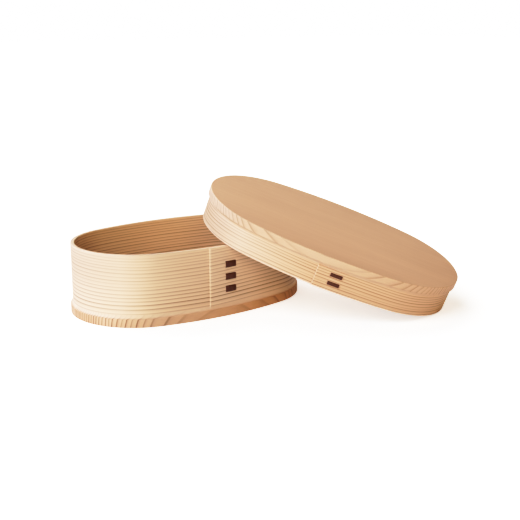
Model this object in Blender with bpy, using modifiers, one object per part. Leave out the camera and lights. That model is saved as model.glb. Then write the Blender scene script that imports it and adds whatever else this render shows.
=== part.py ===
"""Oval bentwood lunch box with its covering lid taken off and leaning on it.

Each half is a thin cedar strip bent round an oval, its planed ends lapped and sewn with one strip of bark,
and seated on a board whose edge stands proud of the wall. The lid's low end stands on the table and its rim
lies across the body's rim in two places. Metres, +Z up, with the origin under the middle of the base.
"""
import math

import bmesh
import bpy
import numpy as np
from mathutils import Matrix, Vector

# Body, measured over the outside of its bent wall
BODY_LENGTH = 0.1672
BODY_WIDTH = 0.0999
SIDE_RADIUS = 0.2153
RIM_HEIGHT = 0.0477
BODY_WALL = 0.0027

# Lid, which slips over the body
LID_CLEARANCE = 0.0018
LID_WALL = 0.0032
LID_HEIGHT = 0.0228

# Boards: an upright edge that stands proud of the wall, a cove, and a rebate that seats the wall
EDGE_OVERHANG = 0.0015
BASE_EDGE = 0.0057
LID_EDGE = 0.0052
COVE_HEIGHT = 0.0024
REBATE = 0.0017
EDGE_ROUND = 0.0004
RIM_ROUND = 0.0005

# Laps: the arc distance of the outer end from the middle of the front, the overlap, and the planed ends
BODY_LAP_START = -0.0134
BODY_LAP = 0.0324
LID_LAP_START = -0.0021
LID_LAP = 0.027
PLANED_END = 0.0007

# Bark lacing: one strip in a running stitch through both layers of a lap
BARK_WIDTH = 0.0079
BARK = 0.0006
BODY_STITCH = 0.0043
BODY_STITCH_GAP = 0.0041
BODY_FLOOR_MARGIN = 0.0063
BODY_RIM_MARGIN = 0.0095
LID_STITCH = 0.0024
LID_STITCH_GAP = 0.0036
LID_CEILING_MARGIN = 0.0007
LID_RIM_MARGIN = 0.0035

# How the lid leans: its rim's middle from the body's right end and front, and the turn between the two
LID_INSIDE_END = 0.0102
LID_BEYOND_FRONT = 0.0104
LID_TURN = math.radians(-43.6)

# Clearances between pieces that touch
SEAT_GAP = 0.0003
GLUE_LINE = 0.0002
LACING_GAP = 0.0002

# Facets
SIDE_STEPS = 12
END_STEPS = 28
LAP_STEPS = 5
ROUND_STEPS = 2
COVE_STEPS = 4
FOLD_STEPS = 3
SHORTEST_FACET = 0.0006
SHARP_ANGLE = math.radians(35)

# How finely the lean is worked out, and how far it may go
HALVINGS = 40
RIM_SAMPLES = 1500
RIM_SAMPLES_ACROSS = 5
MOST_TILT = math.radians(60)
MOST_ROLL = math.radians(25)

# Colours as linear RGB, and roughness
CEDAR_PALE = (0.72, 0.50, 0.33)
CEDAR_WARM = (0.66, 0.40, 0.22)
CHERRY_BARK = (0.060, 0.021, 0.011)
CEDAR_ROUGHNESS = 0.55
BARK_ROUGHNESS = 0.4


class Oval:
    """An oval of two end arcs and two flatter side arcs, walked by arc length from its front's middle."""

    def __init__(self, length, width, side_radius):
        half_length = length / 2
        half_width = width / 2
        self.side_radius = side_radius
        self.end_radius = (2 * side_radius * half_width - half_length**2 - half_width**2) / (
            2 * (side_radius - half_length))
        self.end_x = half_length - self.end_radius
        self.side_y = side_radius - half_width
        self.side_angle = math.atan2(self.end_x, self.side_y)
        self.side_run = self.side_radius * self.side_angle
        self.end_run = self.end_radius * (math.pi / 2 - self.side_angle)
        self.perimeter = 4 * (self.side_run + self.end_run)

    def at(self, along, out=0.0, z=0.0):
        """The point a given arc length along the oval, moved out along its normal."""
        half_turns, rest = divmod(along, self.perimeter / 2)
        to_back = self.perimeter / 2 - rest
        if rest < self.side_run:
            turn = rest / self.side_radius
        elif to_back < self.side_run:
            turn = math.pi - to_back / self.side_radius
        else:
            turn = self.side_angle + (rest - self.side_run) / self.end_radius
        angle = math.pi * (half_turns - 0.5) + turn
        normal = Vector((math.cos(angle), math.sin(angle), 0))
        if self.side_run <= rest <= self.perimeter / 2 - self.side_run:
            centre = Vector((math.copysign(self.end_x, normal.x), 0, z))
            return centre + normal * (self.end_radius + out)
        centre = Vector((0, -math.copysign(self.side_y, normal.y), z))
        return centre + normal * (self.side_radius + out)

    def locate(self, x, y):
        """Arc length and distance outwards of plan points: the inverse of at(), on arrays."""
        on_end = np.abs(x) * self.side_y > (np.abs(y) + self.side_y) * self.end_x
        from_x = np.where(on_end, x - np.sign(x) * self.end_x, x)
        from_y = np.where(on_end, y, y + np.where(y < 0, -1, 1) * self.side_y)
        out = np.hypot(from_x, from_y) - np.where(on_end, self.end_radius, self.side_radius)
        from_front = np.arctan2(np.abs(from_x), -from_y)
        turn = np.where(y < 0, from_front, math.pi - from_front)
        on_side = turn * self.side_radius
        along = np.where(on_end, self.side_run + (turn - self.side_angle) * self.end_radius, on_side)
        along = np.where(y < 0, along, self.perimeter / 2 - along)
        return np.where(x < 0, -along, along), out

    def stations(self):
        """Arc lengths of the facets' corners, once round from the left end of the front."""
        arcs = [(2 * self.side_run, SIDE_STEPS), (2 * self.end_run, END_STEPS)] * 2
        along = -self.side_run
        corners = []
        for run, steps in arcs:
            corners += [along + run * step / steps for step in range(steps)]
            along += run
        return corners


class Lap:
    """Where a wall's planed ends overlap: the outer end is seen, and the inner end lies flush inside."""

    def __init__(self, oval, start, length, wall):
        self.oval = oval
        self.start = start
        self.end = start + length
        self.wall = wall

    def share(self, along):
        return np.clip((along - self.start) / (self.end - self.start), 0, 1)

    def outside(self, along):
        """Distance of the wall's outer face from the oval, raised by the outer end."""
        raised = (GLUE_LINE + PLANED_END) * (1 - self.share(along))
        return np.where(np.less(along, self.start), 0, raised)

    def scarf(self, along):
        """Distance of the inner layer's planed face from the oval."""
        return self.share(along) * (PLANED_END - self.wall)

    def strip(self):
        """Stations of the strip as (arc length, outer face, inner face), from its outer to its inner end."""
        once = self.oval.perimeter
        for step in range(LAP_STEPS + 1):
            along = self.start + (self.end - self.start) * step / LAP_STEPS
            yield along, self.outside(along), self.scarf(along) + GLUE_LINE
        shoulder = self.end + GLUE_LINE
        yield shoulder, 0, -self.wall
        for along in self.oval.stations() + [corner + once for corner in self.oval.stations()]:
            if shoulder + SHORTEST_FACET < along < self.start + once - SHORTEST_FACET:
                yield along, 0, -self.wall
        for step in range(LAP_STEPS + 1):
            along = self.start + (self.end - self.start) * step / LAP_STEPS
            yield along + once, self.scarf(along), -self.wall


def arc_steps(steps):
    """Sines and cosines of a quarter turn."""
    for step in range(steps + 1):
        angle = math.pi / 2 * step / steps
        yield math.sin(angle), math.cos(angle)


def make_material(name, colour, roughness):
    material = bpy.data.materials.new(name)
    material.use_nodes = True
    shader = material.node_tree.nodes["Principled BSDF"]
    shader.inputs["Base Color"].default_value = (*colour, 1)
    shader.inputs["Roughness"].default_value = roughness
    shader.inputs["Metallic"].default_value = 0
    return material


def add_object(name, bm, collection, parent, material=None):
    """A mesh object from bmesh data, shaded smooth between its sharp edges."""
    mesh = bpy.data.meshes.new(name)
    bmesh.ops.recalc_face_normals(bm, faces=bm.faces)
    bm.to_mesh(mesh)
    bm.free()
    mesh.shade_smooth()
    mesh.set_sharp_from_angle(angle=SHARP_ANGLE)
    if material:
        mesh.materials.append(material)
    obj = bpy.data.objects.new(name, mesh)
    obj.parent = parent
    collection.objects.link(obj)
    return obj


def loft(rings):
    """A closed skin through rings of equally many points, capped at both ends."""
    bm = bmesh.new()
    loops = [[bm.verts.new(point) for point in ring] for ring in rings]
    for near, far in zip(loops, loops[1:]):
        for i, vert in enumerate(near):
            bm.faces.new((vert, near[i - 1], far[i - 1], far[i]))
    bm.faces.new(loops[0])
    bm.faces.new(loops[-1])
    return bm


def board_profile(edge, wall):
    """Edge of a board as (distance from the wall's outer face, height), from its show face to its plug."""
    profile = []
    for sine, cosine in arc_steps(ROUND_STEPS):
        profile.append((EDGE_OVERHANG - EDGE_ROUND * (1 - sine), EDGE_ROUND * (1 - cosine)))
    for sine, cosine in arc_steps(COVE_STEPS):
        profile.append((EDGE_OVERHANG * (1 - sine), edge + COVE_HEIGHT * (1 - cosine)))
    ledge = edge + COVE_HEIGHT
    plug = -wall - SEAT_GAP
    profile.append((plug, ledge))
    profile.append((plug, ledge + REBATE - EDGE_ROUND))
    profile.append((plug - EDGE_ROUND, ledge + REBATE))
    return profile


def make_board(name, oval, edge, wall, face_height, upward, collection, parent, material):
    """An oval board, drawn from its show face through its moulded edge to the plug inside the wall."""
    rings = []
    for out, rise in board_profile(edge, wall):
        rings.append([oval.at(along, out, face_height + upward * rise) for along in oval.stations()])
    return add_object(name, loft(rings), collection, parent, material)


def strip_section(oval, along, outer, inner, seat, rim):
    """Outline across the strip: square at the seat, rounded at the free rim."""
    radius = min(RIM_ROUND, (outer - inner) / 3)
    down = math.copysign(radius, seat - rim)
    points = [(inner, seat), (outer, seat)]
    for sine, cosine in arc_steps(ROUND_STEPS):
        points.append((outer - radius * (1 - cosine), rim + down * (1 - sine)))
    for sine, cosine in arc_steps(ROUND_STEPS):
        points.append((inner + radius * (1 - sine), rim + down * (1 - cosine)))
    return [oval.at(along, out, z) for out, z in points]


def make_band(name, lap, seat, rim, collection, parent, material):
    """A thin strip bent round the oval, with its planed ends lapped."""
    rings = [strip_section(lap.oval, *station, seat, rim) for station in lap.strip()]
    return add_object(name, loft(rings), collection, parent, material)


class Stitching:
    """A running stitch down the middle of a lap: its frame on the wall, its slits and its strip."""

    def __init__(self, lap, first, towards_rim, stitch, gap, room):
        middle = (lap.start + lap.end) / 2
        ends = [middle - BARK_WIDTH / 2, middle + BARK_WIDTH / 2]
        left, right = [lap.oval.at(along, float(lap.outside(along))) for along in ends]
        across = (right - left).normalized()
        outwards = across.cross(Vector((0, 0, 1)))
        turn = Matrix((across, outwards, (0, 0, 1))).transposed()
        self.frame = Matrix.Translation((left + right) / 2) @ turn.to_4x4()
        inner_faces = [lap.oval.at(along, -lap.wall) for along in ends + [middle]]
        self.depth = max((self.frame.translation - face).dot(outwards) for face in inner_faces)
        self.bulge = (lap.oval.at(middle, float(lap.outside(middle))) - self.frame.translation).dot(outwards)
        self.turn = towards_rim
        count = int((room + gap) / (stitch + gap))
        starts = [first + towards_rim * (stitch + gap) * i for i in range(count)]
        inset = towards_rim * BARK / 2
        self.slits = [z for start in starts for z in (start + inset, start + towards_rim * stitch - inset)]

    def path(self):
        """Middle line of the strip as (outwards, height): in and out of the slits, with both ends tucked in."""
        outer = self.bulge + LACING_GAP + BARK / 2
        inner = -self.depth - LACING_GAP - BARK / 2
        tuck = self.turn * (BARK + LACING_GAP)
        corners = [(inner, self.slits[1] - tuck)]
        for i, slit in enumerate(self.slits):
            corners += [(inner, slit), (outer, slit)] if i % 2 == 0 else [(outer, slit), (inner, slit)]
        corners.append((inner, self.slits[-2] + tuck))
        return corners

    def rounded_path(self):
        """The path with each fold turned on a small arc."""
        corners = [Vector(corner) for corner in self.path()]
        points = [corners[0]]
        for before, corner, after in zip(corners, corners[1:], corners[2:]):
            back = (before - corner).normalized() * BARK
            ahead = (after - corner).normalized() * BARK
            for sine, cosine in arc_steps(FOLD_STEPS):
                points.append(corner + back * (1 - sine) + ahead * (1 - cosine))
        return points + [corners[-1]]


def make_lacing(name, stitching, collection, parent, material):
    """The bark strip: its middle line drawn out to the strip's width, and thickened."""
    bm = bmesh.new()
    points = [Vector((-BARK_WIDTH / 2, out, z)) for out, z in stitching.rounded_path()]
    verts = [bm.verts.new(point) for point in points]
    edges = [bm.edges.new(pair) for pair in zip(verts, verts[1:])]
    drawn = bmesh.ops.extrude_edge_only(bm, edges=edges)["geom"]
    far_verts = [item for item in drawn if isinstance(item, bmesh.types.BMVert)]
    bmesh.ops.translate(bm, verts=far_verts, vec=(BARK_WIDTH, 0, 0))
    lacing = add_object(name, bm, collection, parent, material)
    lacing.matrix_local = stitching.frame
    thickness = lacing.modifiers.new("bark", "SOLIDIFY")
    thickness.thickness = BARK
    thickness.offset = 0
    thickness.use_even_offset = True
    return lacing


def cut_slits(band, stitching, collection, parent):
    """Cut the slits for the lacing through both layers of the lap."""
    bm = bmesh.new()
    through_both = 2 * (stitching.depth + stitching.bulge)
    size = (BARK_WIDTH + 2 * LACING_GAP, through_both, BARK + 2 * LACING_GAP)
    for slit in stitching.slits:
        place = Matrix.Translation((0, -stitching.depth / 2, slit)) @ Matrix.Diagonal((*size, 1))
        bmesh.ops.create_cube(bm, size=1, matrix=place)
    cutter = add_object(band.name + "_slits", bm, collection, parent)
    cutter.matrix_local = stitching.frame
    cutter.hide_render = True
    cutter.display_type = "WIRE"
    cut = band.modifiers.new("slits", "BOOLEAN")
    cut.operation = "DIFFERENCE"
    cut.solver = "EXACT"
    cut.object = cutter


def add_frame(name, collection):
    """An empty that carries the pieces that move together."""
    frame = bpy.data.objects.new(name, None)
    frame.empty_display_size = BODY_WALL
    collection.objects.link(frame)
    return frame


def bisect(wanted, low, high):
    """The value between low and high where wanted() turns from negative to positive."""
    for _ in range(HALVINGS):
        middle = (low + high) / 2
        if wanted(middle) < 0:
            low = middle
        else:
            high = middle
    return (low + high) / 2


class Lean:
    """The lid standing on the table at its low end, its rim across the body's rim at front and back."""

    def __init__(self, body_lap, lid_lap):
        self.body = body_lap
        half_round = lid_lap.oval.perimeter / 2
        points = []
        for along in np.linspace(-half_round, half_round, RIM_SAMPLES, endpoint=False):
            outer = float(lid_lap.outside(along))
            for out in np.linspace(-lid_lap.wall, outer, RIM_SAMPLES_ACROSS):
                points.append(lid_lap.oval.at(along, out))
        self.rim = np.array(points)
        self.place = Vector((BODY_LENGTH / 2 - LID_INSIDE_END, -BODY_WIDTH / 2 - LID_BEYOND_FRONT, 0))
        self.roll = bisect(self.uneven, -MOST_ROLL, MOST_ROLL)
        self.tilt = self.settled_tilt(self.roll)
        self.place.z = -self.heights(self.tilt, self.roll)[0].min()

    def matrix(self, tilt, roll):
        turn = Matrix.Rotation(LID_TURN, 4, "Z")
        return turn @ Matrix.Rotation(tilt, 4, "Y") @ Matrix.Rotation(roll, 4, "X")

    def heights(self, tilt, roll):
        """Heights of the rim's points about its middle, and their plan places."""
        turned = self.rim @ np.array(self.matrix(tilt, roll).to_3x3()).T
        return turned[:, 2], turned[:, 0] + self.place.x, turned[:, 1] + self.place.y

    def clearances(self, tilt, roll):
        """Least height of the lid's rim over the body's, on the lid's front and back sides."""
        height, x, y = self.heights(tilt, roll)
        along, out = self.body.oval.locate(x, y)
        over = (out < self.body.outside(along)) & (out > -self.body.wall)
        clear = height - height.min() - RIM_HEIGHT
        front = self.rim[:, 1] < 0
        return [clear[over & side].min(initial=RIM_HEIGHT) for side in (front, ~front)]

    def settled_tilt(self, roll):
        return bisect(lambda tilt: min(self.clearances(tilt, roll)) - SEAT_GAP, 0, MOST_TILT)

    def uneven(self, roll):
        front, back = self.clearances(self.settled_tilt(roll), roll)
        return back - front


def build():
    for obj in list(bpy.data.objects):
        bpy.data.objects.remove(obj)

    parts = bpy.data.collections.new("bentwood_bento_box")
    cutters = bpy.data.collections.new("cutters")
    for collection in (parts, cutters):
        bpy.context.scene.collection.children.link(collection)

    body_oval = Oval(BODY_LENGTH, BODY_WIDTH, SIDE_RADIUS)
    grown = LID_CLEARANCE + LID_WALL
    lid_oval = Oval(BODY_LENGTH + 2 * grown, BODY_WIDTH + 2 * grown, SIDE_RADIUS + grown)
    body_lap = Lap(body_oval, BODY_LAP_START, BODY_LAP, BODY_WALL)
    lid_lap = Lap(lid_oval, LID_LAP_START, LID_LAP, LID_WALL)

    # Body: the base board stands on the table, and the wall rises from its ledge
    box = add_frame("box_frame", parts)
    base_ledge = BASE_EDGE + COVE_HEIGHT
    floor = base_ledge + REBATE
    make_board("base_board", body_oval, BASE_EDGE, BODY_WALL, 0, 1, parts, box,
               make_material("cedar_base_board", CEDAR_WARM, CEDAR_ROUGHNESS))
    body_band = make_band("body_band", body_lap, base_ledge + SEAT_GAP, RIM_HEIGHT, parts, box,
                          make_material("cedar_body_band", CEDAR_PALE, CEDAR_ROUGHNESS))
    body_room = RIM_HEIGHT - floor - BODY_FLOOR_MARGIN - BODY_RIM_MARGIN
    body_stitching = Stitching(body_lap, floor + BODY_FLOOR_MARGIN, 1, BODY_STITCH, BODY_STITCH_GAP,
                               body_room)
    make_lacing("body_lacing", body_stitching, parts, box,
                make_material("cherry_bark_body_lacing", CHERRY_BARK, BARK_ROUGHNESS))
    cut_slits(body_band, body_stitching, cutters, box)

    # Lid: built rim down on its own frame, which leans it on the body
    lean = Lean(body_lap, lid_lap)
    lid = add_frame("lid_frame", parts)
    lid.matrix_local = Matrix.Translation(lean.place) @ lean.matrix(lean.tilt, lean.roll)
    lid_ledge = LID_HEIGHT - LID_EDGE - COVE_HEIGHT
    ceiling = lid_ledge - REBATE
    make_board("lid_board", lid_oval, LID_EDGE, LID_WALL, LID_HEIGHT, -1, parts, lid,
               make_material("cedar_lid_board", CEDAR_WARM, CEDAR_ROUGHNESS))
    lid_band = make_band("lid_band", lid_lap, lid_ledge - SEAT_GAP, 0, parts, lid,
                         make_material("cedar_lid_band", CEDAR_PALE, CEDAR_ROUGHNESS))
    lid_room = ceiling - LID_CEILING_MARGIN - LID_RIM_MARGIN
    lid_stitching = Stitching(lid_lap, ceiling - LID_CEILING_MARGIN, -1, LID_STITCH, LID_STITCH_GAP,
                              lid_room)
    make_lacing("lid_lacing", lid_stitching, parts, lid,
                make_material("cherry_bark_lid_lacing", CHERRY_BARK, BARK_ROUGHNESS))
    cut_slits(lid_band, lid_stitching, cutters, lid)


build()
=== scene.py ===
"""Oval bentwood lunch box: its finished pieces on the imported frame, their woods and the stage they stand on.

Every piece is first made flat, as a cedar strip is before it is steamed, and a node tree bends it round the
oval and sets it in place. The walls keep the grain of the flat strip, so it follows the bend as real grain
does. Flat work has X along the strip from the middle of the front, Y outwards and Z up. Sizes are in metres.
"""
import math
from typing import NamedTuple

import bmesh
import bpy
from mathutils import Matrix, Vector


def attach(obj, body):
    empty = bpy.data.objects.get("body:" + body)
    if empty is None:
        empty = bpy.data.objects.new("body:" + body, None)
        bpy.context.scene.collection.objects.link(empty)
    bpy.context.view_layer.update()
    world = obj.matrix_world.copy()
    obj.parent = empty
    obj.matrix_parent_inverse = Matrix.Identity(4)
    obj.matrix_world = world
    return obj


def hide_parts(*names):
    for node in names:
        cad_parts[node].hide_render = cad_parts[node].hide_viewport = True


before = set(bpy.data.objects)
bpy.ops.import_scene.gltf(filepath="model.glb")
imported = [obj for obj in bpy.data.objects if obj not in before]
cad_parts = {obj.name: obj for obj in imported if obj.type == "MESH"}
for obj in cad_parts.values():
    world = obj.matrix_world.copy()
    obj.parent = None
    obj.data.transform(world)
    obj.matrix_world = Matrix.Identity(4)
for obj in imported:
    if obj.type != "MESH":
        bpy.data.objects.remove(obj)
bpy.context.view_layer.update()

bl_info = {
    "name": "Bentwood lunch box",
    "version": (1, 0, 0),
    "blender": (4, 5, 0),
    "location": "View3D > Sidebar > Lunch box",
    "description": "Builds an oval lunch box of lapped cedar strips sewn with bark",
    "category": "Add Mesh",
}

MILLIMETRES = 1000  # in a metre

# Facets of the flat work
BOARD_STEPS = 240
WALL_STEPS = 220
LAP_STEPS = 18
ROUND_STEPS = 5
COVE_STEPS = 8
FOLD_STEPS = 5
BARK_STEPS = 2
SHARP_ANGLE = math.radians(35)

# Gaps that keep touching faces apart without being seen
GLUE_LINE = 0.00004
SLIT_GAP = 0.0001
SEAM = 0.00001

# End grain seen in a board's cove, and how steeply it falls to that from the upright edge
COVE_GRAIN = 0.1
COVE_FALL = 6

# Sizes in millimetres of what noise draws: along a piece, through or across it, and up it
FIBRES = (30, 0.5, 0.5)  # coarser than real fibres, so that they show
TONES = (160, 30, 30)  # slow changes of tone in the wood
STRIP_WANDER = (130, 60, 60)  # drift of a strip's lines
BOARD_WANDER = (110, 40, 40)  # drift of a board's rings
PORES = (0.4, 0.4, 3)  # of the bark, which runs up and down where it shows

# One year's growth as (part of the year, darkness), and how years differ
STRIP_YEAR = ((0.42, 0.05), (0.72, 0.35), (0.86, 1.0), (0.95, 0.3))
BOARD_YEAR = ((0.4, 0.05), (0.7, 0.35), (0.82, 1.0), (0.92, 0.9), (0.97, 0.1))
LIKE_YEARS = 3  # years in a row that grow about alike
POOR_YEAR = 0.5  # strength of the weakest line

# Planed cedar: what the fibres give to the tone and the relief, where their noise lies, and what it makes
FIBRE_TONE = 0.4
FIBRE_RELIEF = 0.5
FIBRE_NOISE = (0.3, 0.7)
SATIN_ROUGHNESS = (0.42, 0.56)
MOTTLE_NOISE = (0.45, 0.95)
MOTTLING = (0, 0.2)

# Polished bark: where the noise makes pores, how pale they are, and the roughness from ground to pore
PORE_NOISE = (0.5, 0.75)
PORE_PALENESS = (0, 0.6)
BARK_ROUGHNESS = (0.3, 0.55)

# The stage: half the floor's width and the paper's tooth in metres, and the paper's roughness
FLOOR_REACH = 6
PAPER_TOOTH = 0.001
PAPER_ROUGHNESS = (0.8, 0.95)
WHITE = (1, 1, 1, 1)

# Tone curve as (light, brightness shown): deep shadows, and highlights that roll off to white
TONE_CURVE = (
    (0, 0), (0.1, 0.05), (0.2, 0.13), (0.4, 0.34), (0.6, 0.59),
    (0.8, 0.77), (1.0, 0.885), (1.2, 0.95), (1.5, 1))

# Soft studio lamps: turn from the camera towards its left and height in degrees, strength, colour
LAMPS = (
    ("window_front", 45, 45, 2.45, "eff6ff"),
    ("window_back", 135, 45, 2.0, "f6faff"),
    ("window_sill", 90, 15, 1.05, "b0d4ff"),
    ("bounce", 0, 15, 1.29, "ffe7ac"),
    ("back_wall", 180, 15, 0.48, "ffefca"),
    ("side_wall", -115, 6, 0.95, "ffcb7d"))


class StripGrain(NamedTuple):
    """How the grain lies in a bent strip: lengths in millimetres, ranges as (from, to), and shares."""
    spacing: float  # between two growth lines
    low_lines: float  # strength of the lines low on the wall
    end_tone_and_highlight: float  # tone of the wood kept on the paler outer end, partly freshly cut and partly a painted highlight
    rim_tone_and_highlight: float  # tone of the wood kept on the paler rim, partly freshly cut and partly a painted highlight
    palest: float  # place of the palest wood, along the strip from the middle of the front, where the wall faces the lamps; partly painted light
    fade: float  # how far the palest wood reaches
    least_heart_and_shade: float  # warmer wood in the palest place, partly heartwood and partly painted shade
    heart: float  # warmer wood beyond it, partly heartwood and partly painted shade
    far_heart_and_shade: float  # part of that which is left in the far wood
    seed: float  # place in the noise
    far_wood: tuple = (250, 370)  # distance from the palest place over which the wood changes again
    faint_reach: float = 45  # how far the lines are fainter round the palest place, partly painted light
    faint_lines: float = 0.58  # strength of the lines there
    heights: tuple = (10, 35)  # over which the lines weaken upwards
    high_lines: float = 0.78  # strength of the lines high on the wall
    outward: tuple = (-2, -1)  # depth over which inner wood becomes outer wood
    inner_lines_and_shade: float = 1.1  # strength of the lines on the inner face, partly painted shade inside the box
    outer_lines: float = 0.85  # strength of the lines on the outer face
    inner_heart_and_shade: float = 0.12  # warmer wood on the inner face, partly heartwood and partly painted shade inside the box
    pale_rim_width: float = 0.8  # width of the paler rim, partly freshly cut and partly a painted highlight
    pale_edge_blend: float = 0.3  # soft border of the paler edges
    drift: float = 6  # of the lines, up and down
    crowding: float = 0.0055  # more lines, for each millimetre up
    slant: float = 0.35  # of the rings through the strip


class BoardGrain(NamedTuple):
    """How the grain lies in a board: lengths in millimetres, ranges as (from, to), and shares."""
    lean: float  # of the rings on the edge, in degrees
    edge_lines: float  # strength of the lines on the edge
    heart: float  # warmer wood at the warm end, partly heartwood and partly painted shade on the end in shadow
    warm_from: float  # place where the board begins to get warmer, from its middle
    tip_heart: float  # heartwood added at both tips
    cove_pale_and_highlight: float  # how much paler the cove is: partly the plain wood it shows, partly a painted highlight
    seed: float  # place in the noise
    spacing: float = 2.1  # between two growth lines
    warm_run: float = 80  # over which the board gets warmer
    pale_end: float = 0.05  # part of that warm share left at the pale end
    tips: tuple = (78, 86)  # distance from the middle over which the tips begin
    face_heart: float = 0.25  # heartwood on the broad faces
    face_lines: float = 0.05  # strength of the lines on the broad faces
    sides_to_ends: tuple = (25, 80)  # distance from the middle over which the lines get stronger
    side_lines: float = 0.5  # strength of the lines along the sides
    end_lines: float = 1.25  # strength of the lines at the ends
    face_grain: float = 0.02  # end grain up to which a face is a broad face
    edge_grain: float = 0.8  # end grain from which a face is the upright edge
    drift: float = 5  # of the rings, sideways


# the palest place of each strip lies where its wall faces the lamps: its paleness is partly painted light, and
# the warmer wood away from it partly painted shade
STRIPS = {
    "body_band": StripGrain(
        spacing=3.0, low_lines=1.35, end_tone_and_highlight=0.6, rim_tone_and_highlight=0.8, palest=366, fade=42,
        least_heart_and_shade=0.0, heart=0.23, far_heart_and_shade=0.65, seed=1.3),
    # the lid's free rim takes the full pale colour: partly freshly cut wood, partly a painted highlight along
    # its lower edge
    "lid_band": StripGrain(
        spacing=2.1, low_lines=1.15, end_tone_and_highlight=0.7, rim_tone_and_highlight=0.0, palest=416, fade=55,
        least_heart_and_shade=0.08, heart=0.52, far_heart_and_shade=1.0, seed=5.9)}

# the cove of each board is paler partly as a painted highlight, the base's most of all
BOARDS = {
    # the warm end of each board lies towards the side in shadow, so its warmth is partly painted shade
    "base_board": BoardGrain(
        lean=8, edge_lines=0.8, heart=0.76, warm_from=-50, tip_heart=0.4, cove_pale_and_highlight=0.9, seed=3.1),
    "lid_board": BoardGrain(
        lean=-20, edge_lines=0.55, heart=0.36, warm_from=0, tip_heart=0.0, cove_pale_and_highlight=0.1, seed=7.7)}


def linear(code):
    """An sRGB hex colour as linear RGB."""
    channels = [int(code[i:i + 2], 16) / 255 for i in (0, 2, 4)]
    return tuple(c / 12.92 if c <= 0.04045 else ((c + 0.055) / 1.055) ** 2.4 for c in channels)


def size(name, description, millimetres):
    """A length property whose default is given in millimetres."""
    return bpy.props.FloatProperty(
        name=name, description=description, default=millimetres / MILLIMETRES, unit="LENGTH", precision=5)


def colour(name, description, code):
    """A colour property whose default is an sRGB hex value."""
    return bpy.props.FloatVectorProperty(
        name=name, description=description, default=linear(code), subtype="COLOR", min=0, max=1)


class BodySizes(bpy.types.PropertyGroup):
    """Sizes of the body, which stands on its base board."""
    length: size("Length", "Over the outside of the wall", 167.2)
    width: size("Width", "Over the outside of the wall", 99.9)
    side_radius: size("Side radius", "Radius of the two flatter sides", 215.3)
    wall: size("Wall", "Thickness of the bent strip", 2.7)
    seat: size("Seat", "Height of the edge of the wall that meets the board", 8.1)
    rim: size("Rim", "Height of the wall's free edge", 47.7)
    face: size("Board face", "Height of the board's outer face", 0)
    edge: size("Board edge", "Height of the board's upright edge", 5.7)
    lap_start: size("Lap start", "Outer end of the strip, from the middle of the front", -13.4)
    lap: size("Lap", "How far the ends of the strip overlap", 32.4)
    first_stitch: size("First stitch", "Height where the lacing first comes out", 16.1)
    stitch: size("Stitch", "Length of a stitch", 4.3)
    stitch_gap: size("Stitch gap", "Wall between two stitches", 4.1)
    stitches: bpy.props.IntProperty(name="Stitches", description="Stitches seen outside", default=3, min=1)
    place: bpy.props.FloatVectorProperty(
        name="Place", description="Where the middle of the body stands", subtype="TRANSLATION", unit="LENGTH")
    turn: bpy.props.FloatVectorProperty(name="Turn", description="How the body is turned", subtype="EULER")


class LidSizes(bpy.types.PropertyGroup):
    """Sizes of the lid, whose rim is at height 0 before it is leant on the body."""
    length: size("Length", "Over the outside of the wall", 177.2)
    width: size("Width", "Over the outside of the wall", 109.9)
    side_radius: size("Side radius", "Radius of the two flatter sides", 220.3)
    wall: size("Wall", "Thickness of the bent strip", 3.2)
    seat: size("Seat", "Height of the edge of the wall that meets the board", 15.2)
    rim: size("Rim", "Height of the wall's free edge", 0)
    face: size("Board face", "Height of the board's outer face", 22.8)
    edge: size("Board edge", "Height of the board's upright edge", 5.2)
    lap_start: size("Lap start", "Outer end of the strip, from the middle of the front", -2.1)
    lap: size("Lap", "How far the ends of the strip overlap", 27.0)
    first_stitch: size("First stitch", "Height where the lacing first comes out", 12.8)
    stitch: size("Stitch", "Length of a stitch", 2.4)
    stitch_gap: size("Stitch gap", "Wall between two stitches", 3.6)
    stitches: bpy.props.IntProperty(name="Stitches", description="Stitches seen outside", default=2, min=1)
    place: bpy.props.FloatVectorProperty(
        name="Place", description="Where the middle of the lid's rim is", subtype="TRANSLATION",
        unit="LENGTH", default=(0.0734, -0.06035, 0.03103))
    turn: bpy.props.FloatVectorProperty(
        name="Turn", description="How the lid leans", subtype="EULER",
        default=[math.radians(angle) for angle in (5.62, 20.08, -43.6)])


class MakingSizes(bpy.types.PropertyGroup):
    """Sizes that the body and the lid share."""
    overhang: size("Edge overhang", "How far a board's edge stands proud of the wall", 1.5)
    cove: size("Cove", "Height of the hollow moulding beside the edge", 2.4)
    rebate: size("Rebate", "How far a board reaches inside the wall", 1.7)
    edge_round: size("Edge rounding", "Radius of a board's eased edge", 0.4)
    rim_round: size("Rim rounding", "Radius of the wall's eased free edge", 0.5)
    planed_end: size("Planed end", "Thickness that a lapped end is planed to", 0.7)
    tip: size("Tip", "Thickness left at the very end that shows", 0.35)
    bevel: size("Bevel", "Length of the bevel on the end that shows", 0.5)
    bark_width: size("Bark width", "Width of the lacing", 7.9)
    bark: size("Bark", "Thickness of the lacing", 0.6)
    bark_round: size("Bark rounding", "Radius of the lacing's long edges", 0.15)


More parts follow.
